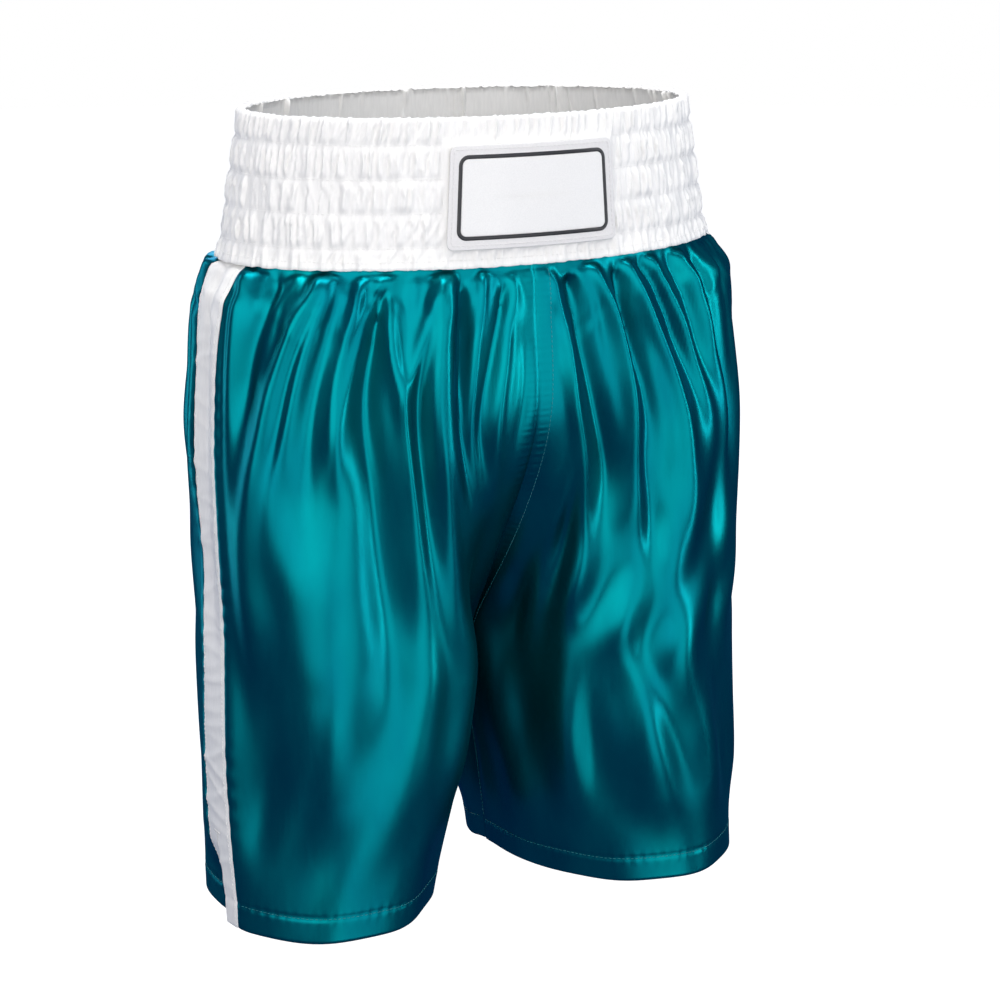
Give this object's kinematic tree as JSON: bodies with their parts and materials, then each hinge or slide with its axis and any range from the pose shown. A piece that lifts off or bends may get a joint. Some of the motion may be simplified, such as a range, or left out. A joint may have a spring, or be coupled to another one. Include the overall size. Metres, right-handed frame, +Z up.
{
  "type": "boxing shorts",
  "caption": "Satin boxing shorts: wide shirred elastic waistband with a blank front patch, loose legs with side stripes and vents.",
  "frame": {"origin": "centre of the waist opening, at the height of the waistband's rim", "axes": "+Z up along the body, -Y to the front of the shorts, -X to the wearer's right"},
  "size_m": [0.413, 0.2405, 0.5751],
  "materials": {
    "teal_satin": "glossy polyester satin with soft folds",
    "white_satin": "white polyester satin",
    "white_elastic": "matt knitted elastic",
    "patch_rubber": "off-white soft rubber with a fine grain",
    "black_outline": "black raised rubber line",
    "patch_face": "smooth off-white rubber",
    "white_thread": "white polyester thread",
    "teal_thread": "teal polyester thread"
  },
  "bodies": {
    "root": {"waistband_cover": "white_satin", "waistband_elastic": "white_elastic", "waistband_stitch_row_1": "white_thread", "waistband_stitch_row_2": "white_thread", "waistband_stitch_row_3": "white_thread", "waistband_stitch_row_4": "white_thread", "waist_seam_stitching": "white_thread", "patch_base": "patch_rubber", "patch_outline": "black_outline", "patch_face": "patch_face", "patch_stitching": "white_thread", "front_rise_topstitching": "teal_thread", "back_rise_topstitching": "teal_thread"},
    "right_leg": {"front_right_panel": "teal_satin", "back_right_panel": "teal_satin", "right_side_stripe": "white_satin", "right_hem_stitching_front": "teal_thread", "right_hem_stitching_back": "teal_thread", "right_inseam_stitching": "teal_thread", "right_stripe_topstitching_front": "white_thread", "right_stripe_topstitching_back": "white_thread", "right_vent_bartack": "white_thread"},
    "left_leg": {"front_left_panel": "teal_satin", "back_left_panel": "teal_satin", "left_side_stripe": "white_satin", "left_hem_stitching_front": "teal_thread", "left_hem_stitching_back": "teal_thread", "left_inseam_stitching": "teal_thread", "left_stripe_topstitching_front": "white_thread", "left_stripe_topstitching_back": "white_thread", "left_vent_bartack": "white_thread"}
  },
  "joints": [
    {"name": "right_leg_swing", "type": "hinge", "parent": "root", "child": "right_leg", "pos_m": [-0.1, 0.0072, -0.27], "axis": [-1, 0, 0], "range_deg": [-15, 25], "deforming": ["front_right_panel", "back_right_panel", "right_side_stripe", "right_inseam_stitching", "right_stripe_topstitching_front", "right_stripe_topstitching_back"]},
    {"name": "left_leg_swing", "type": "hinge", "parent": "root", "child": "left_leg", "pos_m": [0.1, 0.0072, -0.27], "axis": [-1, 0, 0], "range_deg": [-15, 25], "deforming": ["front_left_panel", "back_left_panel", "left_side_stripe", "left_inseam_stitching", "left_stripe_topstitching_front", "left_stripe_topstitching_back"]}
  ]
}
